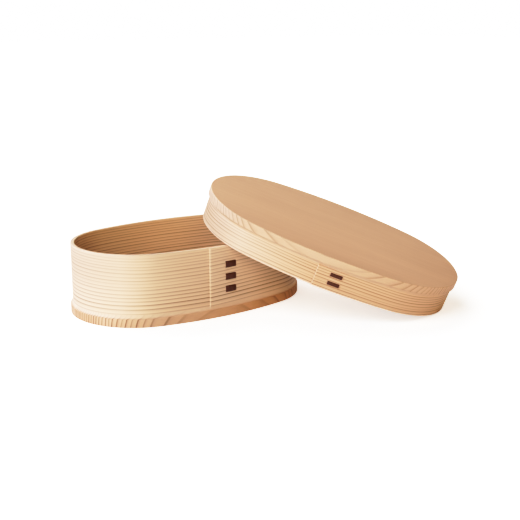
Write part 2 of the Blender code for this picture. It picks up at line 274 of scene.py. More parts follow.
class WoodColours(bpy.types.PropertyGroup):
    """Colours of the two cuts of cedar and of the bark."""
    strip_sapwood: colour("Strip, sapwood", "Palest wood of the bent strips", "f3dcc8")
    # the inner face's own tone is partly painted shade inside the box
    strip_inside_and_shade: colour("Strip, inside", "Sapwood on the inner face of the bent strips", "f0d9be")
    # paler cut ends and rims: partly freshly cut wood, partly a painted highlight along those edges
    strip_cut_and_highlight: colour("Strip, cut", "Freshly cut ends and rims of the bent strips", "f5dccb")
    strip_lines: colour("Strip, lines", "Summer growth lines of the bent strips", "90643d")
    board_sapwood: colour("Board, sapwood", "Palest wood of the boards", "e6c7ae")
    board_lines: colour("Board, lines", "Summer growth lines of the boards", "87562e")
    # laid on partly as heartwood and partly as painted shade on the sides away from the lamps
    heartwood_and_shade: colour("Heartwood", "Wood nearest the heart of the tree", "cf9760")
    bark_dark: colour("Bark, ground", "Polished ground of the bark", "5a2814")
    bark_light: colour("Bark, pores", "Pores and scuffs of the bark", "74492f")


class StageSettings(bpy.types.PropertyGroup):
    """The floor, the lights and the camera."""
    floor: colour("Floor", "Paper that the box stands on", "fbfaf8")
    light: bpy.props.FloatProperty(
        name="Light", description="Strength of all the lamps together", default=1, min=0)
    spread: bpy.props.FloatProperty(
        name="Spread", description="How wide each lamp looks", subtype="ANGLE", default=math.radians(45))
    glow: bpy.props.FloatProperty(
        name="Paper glow", description="How far shadows on the paper are lifted", default=0.6, min=0)
    lens: bpy.props.FloatProperty(
        name="Lens", description="Focal length on a 36 mm frame", default=67.06, unit="CAMERA")
    camera: bpy.props.FloatVectorProperty(
        name="Camera", description="Where the camera stands", subtype="TRANSLATION", unit="LENGTH",
        default=(-0.34106, -0.56681, 0.19566))
    target: bpy.props.FloatVectorProperty(
        name="Target", description="Where the camera looks", subtype="TRANSLATION", unit="LENGTH",
        default=(0.104, 0.05831, 0))


class LunchBox(bpy.types.PropertyGroup):
    """Everything that a user would change."""
    body: bpy.props.PointerProperty(type=BodySizes)
    lid: bpy.props.PointerProperty(type=LidSizes)
    making: bpy.props.PointerProperty(type=MakingSizes)
    colours: bpy.props.PointerProperty(type=WoodColours)
    stage: bpy.props.PointerProperty(type=StageSettings)


def set_inputs(tree, node, inputs):
    """Set a node's inputs, by name or in order, from values, sockets, or nodes for their first output."""
    for key, value in inputs.items() if isinstance(inputs, dict) else enumerate(inputs):
        if isinstance(value, bpy.types.Node):
            value = next(socket for socket in value.outputs if socket.enabled)
        if isinstance(value, bpy.types.NodeSocket):
            tree.links.new(value, node.inputs[key])
        else:
            node.inputs[key].default_value = value


def add_node(tree, kind, inputs=(), **settings):
    """Add a node with its settings and inputs."""
    node = tree.nodes.new(kind)
    for name, value in settings.items():
        setattr(node, name, value)
    set_inputs(tree, node, inputs)
    return node


def add_rules(tree, known, rules):
    """Add a chain of sums to a tree, and keep each by its name in what is known.

    A rule is a name, what is done, and its terms, which are numbers or known names.
    MAP_RANGE takes a term from one range to another, each given by its two ends.
    """
    for name, operation, *terms in rules:
        terms = [known.get(term, term) for term in terms]
        if operation == "MAP_RANGE":
            known[name] = add_node(tree, "ShaderNodeMapRange", terms)
        else:
            known[name] = add_node(tree, "ShaderNodeMath", terms, operation=operation)


def new_tree(name, sockets):
    """A Geometry Nodes tree with named inputs, and those inputs by name."""
    tree = bpy.data.node_groups.new(name, "GeometryNodeTree")
    for socket, kind in sockets:
        tree.interface.new_socket(socket, in_out="INPUT", socket_type="NodeSocket" + kind)
    tree.interface.new_socket("Geometry", in_out="OUTPUT", socket_type="NodeSocketGeometry")
    inputs = add_node(tree, "NodeGroupInput").outputs
    return tree, {socket: inputs[socket] for socket, _ in sockets}


def end_tree(tree, geometry, material):
    """Realize what a tree made, give it its material and put it out."""
    realized = add_node(tree, "GeometryNodeRealizeInstances", {"Geometry": geometry})
    finished = add_node(tree, "GeometryNodeSetMaterial", {"Geometry": realized, "Material": material})
    add_node(tree, "NodeGroupOutput", {"Geometry": finished})


def bend_tree():
    """The rule of the whole box: flat work bent round an oval of two end arcs and two flatter side arcs."""
    tree, known = new_tree("bend_round_oval", (
        ("Geometry", "Geometry"), ("Length", "Float"), ("Width", "Float"), ("Side Radius", "Float"),
        ("Grain Follows Bend", "Bool"), ("Place", "Vector"), ("Turn", "Vector"), ("Material", "Material")))
    position = add_node(tree, "GeometryNodeInputPosition")
    flat = add_node(tree, "ShaderNodeSeparateXYZ", [position])
    known.update(along=flat.outputs["X"], out=flat.outputs["Y"], up=flat.outputs["Z"])
    add_rules(tree, known, (
        ("half_length", "MULTIPLY", "Length", 0.5),
        ("half_width", "MULTIPLY", "Width", 0.5),
        # the end arcs' radius, from where they run smoothly into the side arcs
        ("length_squared", "MULTIPLY", "half_length", "half_length"),
        ("squares", "MULTIPLY_ADD", "half_width", "half_width", "length_squared"),
        ("diameter", "MULTIPLY", "Side Radius", 2.0),
        ("product", "MULTIPLY", "diameter", "half_width"),
        ("above", "SUBTRACT", "product", "squares"),
        ("below", "SUBTRACT", "diameter", "Length"),
        ("end_radius", "DIVIDE", "above", "below"),
        ("end_x", "SUBTRACT", "half_length", "end_radius"),
        ("side_y", "SUBTRACT", "Side Radius", "half_width"),
        # lengths of half a side, of an end and of half the round
        ("side_angle", "ARCTAN2", "end_x", "side_y"),
        ("end_angle", "MULTIPLY_ADD", "side_angle", -2.0, math.pi),
        ("side_run", "MULTIPLY", "Side Radius", "side_angle"),
        ("end_run", "MULTIPLY", "end_radius", "end_angle"),
        ("end_stop", "ADD", "side_run", "end_run"),
        ("half_round", "ADD", "end_stop", "side_run"),
        # how far the work has turned: along half a side, an end and half a side again
        ("halves", "DIVIDE", "along", "half_round"),
        ("whole_halves", "FLOOR", "halves"),
        ("rest", "FLOORED_MODULO", "along", "half_round"),
        ("first_side", "MINIMUM", "rest", "side_run"),
        ("past_side", "SUBTRACT", "rest", "side_run"),
        ("into_end", "MAXIMUM", "past_side", 0.0),
        ("on_end", "MINIMUM", "into_end", "end_run"),
        ("past_end", "SUBTRACT", "rest", "end_stop"),
        ("second_side", "MAXIMUM", "past_end", 0.0),
        ("sides", "ADD", "first_side", "second_side"),
        ("side_turn", "DIVIDE", "sides", "Side Radius"),
        ("end_turn", "DIVIDE", "on_end", "end_radius"),
        ("turned", "ADD", "side_turn", "end_turn"),
        ("from_front", "MULTIPLY_ADD", "whole_halves", math.pi, "turned"),
        ("angle", "SUBTRACT", "from_front", math.pi / 2),
        ("facing_x", "COSINE", "angle"),
        ("facing_y", "SINE", "angle"),
        # the arc that the work is on, and its centre
        ("facing_end", "ABSOLUTE", "facing_x"),
        ("side_limit", "SINE", "side_angle"),
        ("at_end", "GREATER_THAN", "facing_end", "side_limit"),
        ("at_side", "SUBTRACT", 1.0, "at_end"),
        ("radius_step", "SUBTRACT", "Side Radius", "end_radius"),
        ("radius", "MULTIPLY_ADD", "at_side", "radius_step", "end_radius"),
        ("sign_x", "SIGN", "facing_x"),
        ("end_centre", "MULTIPLY", "sign_x", "end_x"),
        ("centre_x", "MULTIPLY", "end_centre", "at_end"),
        ("sign_y", "SIGN", "facing_y"),
        ("side_centre", "MULTIPLY", "sign_y", "side_y"),
        ("far_centre", "MULTIPLY", "side_centre", "at_side"),
        ("reach", "ADD", "radius", "out"),
        ("bent_x", "MULTIPLY_ADD", "facing_x", "reach", "centre_x"),
        ("reach_y", "MULTIPLY", "facing_y", "reach"),
        ("bent_y", "SUBTRACT", "reach_y", "far_centre")))
    bent = add_node(tree, "ShaderNodeCombineXYZ", [known["bent_x"], known["bent_y"], known["up"]])
    grain = add_node(tree, "GeometryNodeSwitch", {
        "Switch": known["Grain Follows Bend"], "False": bent, "True": position}, input_type="VECTOR")
    marked = add_node(tree, "GeometryNodeStoreNamedAttribute", {
        "Geometry": known["Geometry"], "Name": "grain", "Value": grain}, data_type="FLOAT_VECTOR")
    bent_work = add_node(tree, "GeometryNodeSetPosition", {"Geometry": marked, "Position": bent})
    placed = add_node(tree, "GeometryNodeTransform", {
        "Geometry": bent_work, "Translation": known["Place"], "Rotation": known["Turn"]})
    end_tree(tree, placed, known["Material"])
    return tree


def stitch_tree():
    """A bark strip in a running stitch through flat work, with both ends tucked behind a stitch."""
    tree, known = new_tree("running_stitch", (
        ("Geometry", "Geometry"), ("Stitches", "Int"), ("First", "Float"), ("Stitch", "Float"),
        ("Gap", "Float"), ("Tuck", "Float"), ("Middle", "Float"), ("Outside", "Float"), ("Inside", "Float"),
        ("Width", "Float"), ("Thickness", "Float"), ("Fold", "Float"), ("Rounding", "Float"),
        ("Material", "Material")))
    known["index"] = add_node(tree, "GeometryNodeInputIndex")
    add_rules(tree, known, (
        # four corners to a stitch: in, out, out and in, with a tucked end before and after
        ("corners", "MULTIPLY", "Stitches", 4.0),
        ("points", "ADD", "corners", 2.0),
        ("step", "SUBTRACT", "index", 1.0),
        ("fourth", "DIVIDE", "step", 4.0),
        ("which", "FLOOR", "fourth"),
        ("corner", "FLOORED_MODULO", "step", 4.0),
        ("after_first", "GREATER_THAN", "corner", 0.5),
        ("before_last", "LESS_THAN", "corner", 2.5),
        ("is_out", "MULTIPLY", "after_first", "before_last"),
        ("second_slit", "GREATER_THAN", "corner", 1.5),
        ("pitch", "ADD", "Stitch", "Gap"),
        ("start", "MULTIPLY_ADD", "which", "pitch", "First"),
        ("height", "MULTIPLY_ADD", "second_slit", "Stitch", "start"),
        ("tucked_back", "SUBTRACT", "pitch", "Tuck"),
        ("is_start", "LESS_THAN", "index", 0.5),
        ("last_step", "ADD", "corners", 0.5),
        ("is_end", "GREATER_THAN", "index", "last_step"),
        ("end_way", "SUBTRACT", "is_start", "is_end"),
        ("up", "MULTIPLY_ADD", "end_way", "tucked_back", "height"),
        ("depth", "SUBTRACT", "Outside", "Inside"),
        ("out", "MULTIPLY_ADD", "is_out", "depth", "Inside")))
    line = add_node(tree, "GeometryNodeMeshLine", {"Count": known["points"]})
    place = add_node(tree, "ShaderNodeCombineXYZ", [known["Middle"], known["out"], known["up"]])
    corners = add_node(tree, "GeometryNodeSetPosition", {"Geometry": line, "Position": place})
    path = add_node(tree, "GeometryNodeMeshToCurve", {"Mesh": corners})
    folded = add_node(tree, "GeometryNodeFilletCurve", {
        "Curve": path, "Count": FOLD_STEPS, "Radius": known["Fold"], "Limit Radius": True}, mode="POLY")
    across = add_node(tree, "GeometryNodeSetCurveNormal", {"Curve": folded, "Normal": (1, 0, 0)}, mode="FREE")
    outline = add_node(tree, "GeometryNodeCurvePrimitiveQuadrilateral", {
        "Width": known["Width"], "Height": known["Thickness"]}, mode="RECTANGLE")
    eased = add_node(tree, "GeometryNodeFilletCurve", {
        "Curve": outline, "Count": BARK_STEPS, "Radius": known["Rounding"], "Limit Radius": True},
        mode="POLY")
    strip = add_node(tree, "GeometryNodeCurveToMesh", {
        "Curve": across, "Profile Curve": eased, "Fill Caps": True})
    end_tree(tree, strip, known["Material"])
    return tree


def add_modifier(obj, tree, values):
    """Put a node tree on an object, with its inputs set by name."""
    modifier = obj.modifiers.new(tree.name, "NODES")
    modifier.node_group = tree
    for item in tree.interface.items_tree:
        if item.in_out == "INPUT" and item.name in values:
            modifier[item.identifier] = values[item.name]


def bend(obj, half, material, grain_follows):
    """Bend an object's flat work round the oval of one half of the box."""
    tree = bpy.data.node_groups.get("bend_round_oval") or bend_tree()
    add_modifier(obj, tree, {
        "Length": half.length, "Width": half.width, "Side Radius": half.side_radius,
        "Grain Follows Bend": grain_follows, "Place": half.place[:], "Turn": half.turn[:],
        "Material": material})


def perimeter(half):
    """Length once round the oval of one half."""
    half_length = half.length / 2
    half_width = half.width / 2
    end_radius = (2 * half.side_radius * half_width - half_length**2 - half_width**2) / (
        2 * (half.side_radius - half_length))
    side_angle = math.atan2(half_length - end_radius, half.side_radius - half_width)
    return 4 * (half.side_radius * side_angle + end_radius * (math.pi / 2 - side_angle))


def quarter(steps):
    """Sines and cosines of a quarter turn."""
    for step in range(steps + 1):
        angle = math.pi / 2 * step / steps
        yield math.sin(angle), math.cos(angle)


def skin(bm, rings, closed):
    """Faces between rings of equally many points, each ring closed or open."""
    loops = [[bm.verts.new(point) for point in ring] for ring in rings]
    for near, far in zip(loops, loops[1:]):
        for i in range(0 if closed else 1, len(near)):
            bm.faces.new((near[i], near[i - 1], far[i - 1], far[i]))
    return loops


def add_object(name, bm):
    """Put a mesh into the scene as an object."""
    mesh = bpy.data.meshes.new(name)
    bm.to_mesh(mesh)
    bm.free()
    obj = bpy.data.objects.new(name, mesh)
    bpy.context.scene.collection.objects.link(obj)
    return obj


def make_plain(obj):
    """Turn what an object's modifiers make into its own plain mesh."""
    depsgraph = bpy.context.evaluated_depsgraph_get()
    mesh = bpy.data.meshes.new_from_object(
        obj.evaluated_get(depsgraph), preserve_all_data_layers=True, depsgraph=depsgraph)
    obj.modifiers.clear()
    obj.data = mesh


def finish_piece(obj, node, body):
    """Close and shade a plain piece, and let it stand for its node of the frame."""
    bm = bmesh.new()
    bm.from_mesh(obj.data)
    bmesh.ops.remove_doubles(bm, verts=bm.verts, dist=SEAM)
    open_edges = [edge for edge in bm.edges if edge.is_boundary]
    bmesh.ops.holes_fill(bm, edges=open_edges)
    bmesh.ops.recalc_face_normals(bm, faces=bm.faces)
    bm.to_mesh(obj.data)
    bm.free()
    obj.data.shade_smooth()
    obj.data.set_sharp_from_angle(angle=SHARP_ANGLE)
    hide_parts(node)
    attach(obj, body)


def board_profile(half, making):
    """A board's edge as (out, height, how much end grain shows), from its outer face to its plug."""
    upward = 1 if half.rim > half.face else -1
    ease = making.edge_round
    ledge = half.edge + making.cove
    plug = -half.wall - GLUE_LINE
    rows = []
    for sine, cosine in quarter(ROUND_STEPS):
        rows.append((making.overhang - ease * (1 - sine), ease * (1 - cosine), sine))
    for sine, cosine in quarter(COVE_STEPS):
        shown = COVE_GRAIN + (1 - COVE_GRAIN) * cosine**COVE_FALL
        rows.append((making.overhang * (1 - sine), half.edge + making.cove * (1 - cosine), shown))
    rows.append((plug, ledge, 0))
    for sine, cosine in quarter(ROUND_STEPS):
        rows.append((plug - ease * (1 - cosine), ledge + making.rebate - ease * (1 - sine), 0))
    return [(out, half.face + upward * rise, shown) for out, rise, shown in rows]


def flat_board(name, half, making):
    """The moulded edge of a board, unrolled."""
    bm = bmesh.new()
    end_grain = bm.verts.layers.float.new("end_grain")
    profile = board_profile(half, making)
    once = perimeter(half)
    stations = [once * step / BOARD_STEPS for step in range(BOARD_STEPS + 1)]
    rings = [[(along, out, up) for out, up, _ in profile] for along in stations]
    for loop in skin(bm, rings, closed=False):
        for vert, (_, _, shown) in zip(loop, profile):
            vert[end_grain] = shown
    return add_object(name, bm)


def lap_shares(half, making):
    """Stations through a lap as (arc length, share of the lap), one of them where the bevel stops."""
    shares = [step / LAP_STEPS for step in range(LAP_STEPS + 1)]
    for share in sorted(shares + [making.bevel / half.lap]):
        yield half.lap_start + half.lap * share, share


def raised(half, making, share):
    """How far the outer end of a strip stands above the wall at a share of its lap."""
    bevelled = making.tip + (making.planed_end - making.tip) * share * half.lap / making.bevel
    return min(bevelled, making.planed_end * (1 - share)) + GLUE_LINE * (1 - share)


def strip_stations(half, making):
    """A strip from its outer to its inner end, as (arc length, outer face, inner face)."""
    once = perimeter(half)
    scarf = making.planed_end - half.wall
    for along, share in lap_shares(half, making):
        yield along, raised(half, making, share), share * scarf + GLUE_LINE
    shoulder = half.lap_start + half.lap + GLUE_LINE
    run = half.lap_start + once - shoulder
    for step in range(WALL_STEPS):
        yield shoulder + run * step / WALL_STEPS, 0, -half.wall
    for along, share in lap_shares(half, making):
        yield along + once, share * scarf, -half.wall


def strip_section(half, making, along, outer, inner):
    """Outline across a strip: square where it meets the board, eased at the free rim.

    A planed end is eased by no more than a third of its thickness.
    """
    ease = min(making.rim_round, (outer - inner) / 3)
    back = math.copysign(ease, half.seat - half.rim)
    points = [(inner, half.seat), (outer, half.seat)]
    for sine, cosine in quarter(ROUND_STEPS):
        points.append((outer - ease * (1 - cosine), half.rim + back * (1 - sine)))
    for sine, cosine in quarter(ROUND_STEPS):
        points.append((inner + ease * (1 - sine), half.rim + back * (1 - cosine)))
    return [(along, out, up) for out, up in points]


def flat_wall(name, half, making):
    """The strip of a wall as it lies before it is bent, both ends planed for the lap."""
    bm = bmesh.new()
    rings = [strip_section(half, making, *station) for station in strip_stations(half, making)]
    loops = skin(bm, rings, closed=True)
    bm.faces.new(loops[0])
    bm.faces.new(loops[-1])
    bmesh.ops.recalc_face_normals(bm, faces=bm.faces)
    return add_object(name, bm)


def stitch_way(half):
    """Which way the lacing climbs: towards the rim."""
    return 1 if half.rim > half.seat else -1


def slit_heights(half, making):
    """Heights of the slits that the lacing goes through."""
    way = stitch_way(half)
    for stitch in range(half.stitches):
        start = half.first_stitch + way * stitch * (half.stitch + half.stitch_gap)
        yield start + way * making.bark / 2
        yield start + way * (half.stitch - making.bark / 2)


def slit_cutter(half, making):
    """Flat boxes for the slits, through the outer layer of the lap and through the inner one."""
    bm = bmesh.new()
    middle = half.lap_start + half.lap / 2
    deep_enough = 4 * half.wall
    reach = (making.bark_width + 2 * SLIT_GAP, deep_enough, making.bark + 2 * SLIT_GAP)
    for along in (middle, middle + perimeter(half)):
        for height in slit_heights(half, making):
            made = bmesh.ops.create_cube(bm, size=1)
            bmesh.ops.scale(bm, vec=reach, verts=made["verts"])
            bmesh.ops.translate(bm, vec=(along, 0, height), verts=made["verts"])
    return add_object("slits", bm)


def new_material(name):
    """A node material, with its tree and its shader."""
    material = bpy.data.materials.new(name)
    material.use_nodes = True
    return material, material.node_tree, material.node_tree.nodes["Principled BSDF"]


def rgba(shade):
    """A colour property as a node socket takes it."""
    return (*shade, 1)


def grain_place(tree):
    """Where a point lies in its piece of wood, in millimetres, as a vector and as its three parts."""
    grain = add_node(tree, "ShaderNodeAttribute", attribute_name="grain")
    place = add_node(tree, "ShaderNodeVectorMath", {
        0: grain.outputs["Vector"], "Scale": MILLIMETRES}, operation="SCALE")
    return place, add_node(tree, "ShaderNodeSeparateXYZ", [place]).outputs


def drawn_noise(tree, place, lengths, shift=(0, 0, 0), **inputs):
    """Noise whose patches have the given lengths in millimetres."""
    stretched = add_node(tree, "ShaderNodeMapping", {
        "Vector": place, "Location": shift, "Scale": [1 / length for length in lengths]})
    return add_node(tree, "ShaderNodeTexNoise", {"Vector": stretched, "Scale": 1, **inputs})


def growth_lines(tree, across, spacing, year_shades):
    """Dark lines of summer growth, from the distance across the rings in millimetres.

    Good and poor years make the spacing and the strength of the lines uneven.
    """
    span = add_node(tree, "ShaderNodeMath", [across, LIKE_YEARS * spacing], operation="DIVIDE")
    years = add_node(tree, "ShaderNodeTexNoise", {"W": span, "Scale": 1, "Detail": 1}, noise_dimensions="1D")
    known = {"across": across, "years": years}
    add_rules(tree, known, (
        ("uneven", "MULTIPLY_ADD", "years", spacing, "across"),
        ("count", "DIVIDE", "uneven", spacing),
        ("part", "FRACT", "count"),
        ("year", "FLOOR", "count")))
    known["luck"] = add_node(tree, "ShaderNodeTexWhiteNoise", {"W": known["year"]}, noise_dimensions="1D")
    known["line"] = add_node(tree, "ShaderNodeValToRGB", {"Fac": known["part"]})
    ramp = known["line"].color_ramp.elements
    ramp[0].color = ramp[1].color = (0, 0, 0, 1)
    for position, level in year_shades:
        ramp.new(position).color = (level, level, level, 1)
    add_rules(tree, known, (
        ("strength", "MAP_RANGE", "luck", 0, 1, POOR_YEAR, 1),
        ("lines", "MULTIPLY", "line", "strength")))
    return known["lines"]


def finish_cedar(tree, shader, place, known, shades, seed):
    """Planed and sanded cedar, from its known lines and its share of warmer wood, partly painted shade: silky
    fibres, slow tones, satin.
    """
    sapwood, heartwood_and_shade, line = shades
    known["fibres"] = drawn_noise(tree, place, FIBRES, Detail=3, Roughness=0.6)
    known["tones"] = drawn_noise(tree, place, TONES, (0, seed, seed), Detail=2)
    add_rules(tree, known, (
        ("mottle", "MULTIPLY_ADD", "fibres", FIBRE_TONE, "tones"),
        ("shade", "MAP_RANGE", "mottle", *MOTTLE_NOISE, *MOTTLING),
        ("satin", "MAP_RANGE", "fibres", *FIBRE_NOISE, *SATIN_ROUGHNESS),
        ("relief", "MULTIPLY_ADD", "fibres", FIBRE_RELIEF, "lines")))
    dark = add_node(tree, "ShaderNodeMath", [known["lines"], known["shade"]], operation="ADD", use_clamp=True)
    ground = add_node(tree, "ShaderNodeMix", {
        "Factor": known["heartwood_and_shade"], "A": sapwood, "B": heartwood_and_shade}, data_type="RGBA")
    wood = add_node(tree, "ShaderNodeMix", {"Factor": dark, "A": ground, "B": line}, data_type="RGBA")
    bump = add_node(tree, "ShaderNodeBump", {
        "Height": known["relief"], "Strength": 0.25, "Distance": 0.00002})
    set_inputs(tree, shader, {
        "Base Color": wood, "Roughness": known["satin"], "Specular IOR Level": 0.8, "Normal": bump})


def cedar_strip(name, colours, grain, half, making):
    """Quarter-cut cedar strip: cream spring wood, and thin brown lines that run along it and drift slowly.

    The lines crowd together and weaken towards the top. The inner face has its own tone and clearer lines,
    partly painted shade for the deep shade inside the box. The palest wood, with the faintest lines, lies in
    one place along the strip, where the wall faces the lamps: partly a paler run of wood and partly painted
    light, and the warmer wood away from it is partly wood from nearer the heart and partly painted shade.
    The outer end and the free rim are paler and the lines on them are fainter: partly freshly cut wood,
    partly a painted highlight along these edges.
    """
    material, tree, shader = new_material(name)
    place, (along, through, up) = grain_place(tree)
    known = {"along": along, "through": through, "up": up}
    known["wander"] = drawn_noise(tree, place, STRIP_WANDER, (grain.seed, grain.seed, grain.seed), Detail=1)
    add_rules(tree, known, (
        ("drifted", "MULTIPLY_ADD", "wander", grain.drift, "up"),
        ("crowding", "MULTIPLY_ADD", "up", grain.crowding, 1),
        ("crowded", "MULTIPLY", "drifted", "crowding"),
        ("rings", "MULTIPLY_ADD", "through", grain.slant, "crowded")))
    known["summer"] = growth_lines(tree, known["rings"], grain.spacing, STRIP_YEAR)
    add_rules(tree, known, (
        ("outside", "MAP_RANGE", "through", *grain.outward, 0, 1),
        # paler wood with fainter lines on the bevel of the outer end and on the rim: partly freshly cut wood,
        # partly a painted highlight along these edges
        ("past_bevel", "SUBTRACT", "along", (half.lap_start + making.bevel) * MILLIMETRES),
        ("end_tone_and_highlight", "MAP_RANGE", "past_bevel", 0, grain.pale_edge_blend, grain.end_tone_and_highlight, 1),
        ("past_rim", "SUBTRACT", "up", half.rim * MILLIMETRES),
        ("from_rim", "ABSOLUTE", "past_rim"),
        ("past_pale_rim", "SUBTRACT", "from_rim", grain.pale_rim_width),
        ("rim_tone_and_highlight", "MAP_RANGE", "past_pale_rim", 0, grain.pale_edge_blend, grain.rim_tone_and_highlight, 1),
        ("away_from_cut_and_highlight", "MINIMUM", "end_tone_and_highlight", "rim_tone_and_highlight"),
        # warmer wood by the distance from the palest place: partly heartwood, partly painted light in that
        # place and painted shade away from it
        ("past_palest", "SUBTRACT", "along", grain.palest),
        ("away", "ABSOLUTE", "past_palest"),
        ("near_heart_and_shade", "MAP_RANGE", "away", 0, grain.fade, grain.least_heart_and_shade, grain.heart),
        ("far_heart_and_shade", "MAP_RANGE", "away", *grain.far_wood, 1, grain.far_heart_and_shade),
        ("outer_heart_and_shade", "MULTIPLY", "near_heart_and_shade", "far_heart_and_shade"),
        ("heart", "MAP_RANGE", "outside", 0, 1, grain.inner_heart_and_shade, "outer_heart_and_shade"),
        ("heartwood_and_shade", "MULTIPLY", "heart", "away_from_cut_and_highlight"),
        # strength of the lines, by face, height and distance from the palest place; the fainter lines round
        # the palest place are partly painted light, and the stronger lines on the inner face partly painted
        # shade
        ("by_face", "MAP_RANGE", "outside", 0, 1, grain.inner_lines_and_shade, grain.outer_lines),
        ("by_height", "MAP_RANGE", "up", *grain.heights, grain.low_lines, grain.high_lines),
        ("by_distance", "MAP_RANGE", "away", 0, grain.faint_reach, grain.faint_lines, 1),
        ("seen", "MULTIPLY", "by_face", "away_from_cut_and_highlight"),
        ("clear", "MULTIPLY", "seen", "by_height"),
        ("amount", "MULTIPLY", "clear", "by_distance"),
        ("lines", "MULTIPLY", "summer", "amount")))
    # the inner face takes its own tone, partly painted shade inside the box
    faces = add_node(tree, "ShaderNodeMix", {
        "Factor": known["outside"], "A": rgba(colours.strip_inside_and_shade), "B": rgba(colours.strip_sapwood)},
        data_type="RGBA")
    # paler outer end and rim: partly freshly cut wood, partly a painted highlight
    sapwood = add_node(tree, "ShaderNodeMix", {
        "Factor": known["away_from_cut_and_highlight"], "A": rgba(colours.strip_cut_and_highlight), "B": faces}, data_type="RGBA")
    shades = (sapwood, rgba(colours.heartwood_and_shade), rgba(colours.strip_lines))
    finish_cedar(tree, shader, place, known, shades, grain.seed)
    return material


def cedar_board(name, colours, grain):
    """Cedar board: its rings cross the edge as slanting end-grain lines, strongest at both ends.

    The broad faces are planed and show the rings only faintly. The wood gets warmer towards one end of the
    board, partly as painted shade on the end that lies in shadow. The cove beside the edge is paler: partly
    the plain wood it shows, partly a painted highlight.
    """
    material, tree, shader = new_material(name)
    place, (along, across, up) = grain_place(tree)
    end_grain = add_node(tree, "ShaderNodeAttribute", attribute_name="end_grain").outputs["Fac"]
    known = {"along": along, "across": across, "up": up, "end_grain": end_grain}
    known["wander"] = drawn_noise(tree, place, BOARD_WANDER, (grain.seed, 0, grain.seed), Detail=2)
    add_rules(tree, known, (
        ("drifted", "MULTIPLY_ADD", "wander", grain.drift, "across"),
        ("rings", "MULTIPLY_ADD", "up", math.tan(math.radians(grain.lean)), "drifted")))
    known["summer"] = growth_lines(tree, known["rings"], grain.spacing, BOARD_YEAR)
    warm_to = grain.warm_from + grain.warm_run
    add_rules(tree, known, (
        ("from_middle", "ABSOLUTE", "along"),
        # strength of the lines, by face and along the board
        ("by_face", "MAP_RANGE", "end_grain", 0, 1, grain.face_lines, grain.edge_lines),
        ("by_end", "MAP_RANGE", "from_middle", *grain.sides_to_ends, grain.side_lines, grain.end_lines),
        ("amount", "MULTIPLY", "by_face", "by_end"),
        ("lines", "MULTIPLY", "summer", "amount"),
        # the cove, which is neither a broad face nor the upright edge; its paleness is partly a painted
        # highlight
        ("off_face", "MAP_RANGE", "end_grain", grain.face_grain, COVE_GRAIN, 0, 1),
        ("off_edge", "MAP_RANGE", "end_grain", grain.edge_grain, COVE_GRAIN, 0, grain.cove_pale_and_highlight),
        ("cove", "MULTIPLY", "off_face", "off_edge"),
        # warmer wood: on the faces, along the edge, where it is partly painted shade towards the end in
        # shadow, at its tips, and none in the cove
        ("warmth", "MAP_RANGE", "along", grain.warm_from, warm_to, grain.pale_end * grain.heart, grain.heart),
        ("tips", "MAP_RANGE", "from_middle", *grain.tips, 0, grain.tip_heart),
        ("edge_heart_and_shade", "ADD", "warmth", "tips"),
        ("heart", "MAP_RANGE", "end_grain", 0, COVE_GRAIN, grain.face_heart, "edge_heart_and_shade"),
        ("heartwood_and_shade", "MAP_RANGE", "cove", 0, 1, "heart", 0)))
    # the cove takes the paler wood of the strips, partly as a painted highlight
    sapwood = add_node(tree, "ShaderNodeMix", {
        "Factor": known["cove"], "A": rgba(colours.board_sapwood), "B": rgba(colours.strip_sapwood)},
        data_type="RGBA")
    shades = (sapwood, rgba(colours.heartwood_and_shade), rgba(colours.board_lines))
    finish_cedar(tree, shader, place, known, shades, grain.seed)
    return material


def cherry_bark(name, colours):
    """Polished cherry bark: a dark red-brown ground with long paler pores, and a low sheen."""
    material, tree, shader = new_material(name)
    place, _ = grain_place(tree)
    known = {"pores": drawn_noise(tree, place, PORES, Detail=2)}
    add_rules(tree, known, (
        ("paler", "MAP_RANGE", "pores", *PORE_NOISE, *PORE_PALENESS),
        ("sheen", "MAP_RANGE", "pores", 0, 1, *BARK_ROUGHNESS)))
    bark = add_node(tree, "ShaderNodeMix", {
        "Factor": known["paler"], "A": rgba(colours.bark_dark), "B": rgba(colours.bark_light)},
        data_type="RGBA")
    bump = add_node(tree, "ShaderNodeBump", {"Height": known["pores"], "Strength": 0.4, "Distance": 0.0001})
    set_inputs(tree, shader, {"Base Color": bark, "Roughness": known["sheen"], "Normal": bump})
    return material


class LUNCHBOX_OT_boards(bpy.types.Operator):
    """Add the base board and the lid board"""
    bl_idname = "lunch_box.boards"
    bl_label = "Boards"

    def execute(self, context):
        box = context.scene.lunch_box
        for half, body, node in ((box.body, "box", "base_board"), (box.lid, "lid", "lid_board")):
            material = cedar_board("cedar_" + node, box.colours, BOARDS[node])
            board = flat_board(node + "_wood", half, box.making)
            bend(board, half, material, grain_follows=False)
            make_plain(board)
            finish_piece(board, node, body)
        return {"FINISHED"}


class LUNCHBOX_OT_walls(bpy.types.Operator):
    """Add the bent walls of the body and the lid"""
    bl_idname = "lunch_box.walls"
    bl_label = "Bent walls"

    def execute(self, context):
        box = context.scene.lunch_box
        for half, body, node in ((box.body, "box", "body_band"), (box.lid, "lid", "lid_band")):
            material = cedar_strip("cedar_" + node, box.colours, STRIPS[node], half, box.making)
            wall = flat_wall(node + "_wood", half, box.making)
            cutter = slit_cutter(half, box.making)
            cut = wall.modifiers.new("slits", "BOOLEAN")
            cut.operation = "DIFFERENCE"
            cut.solver = "EXACT"
            cut.object = cutter
            bend(wall, half, material, grain_follows=True)
            make_plain(wall)
            bpy.data.objects.remove(cutter)
            finish_piece(wall, node, body)
        return {"FINISHED"}


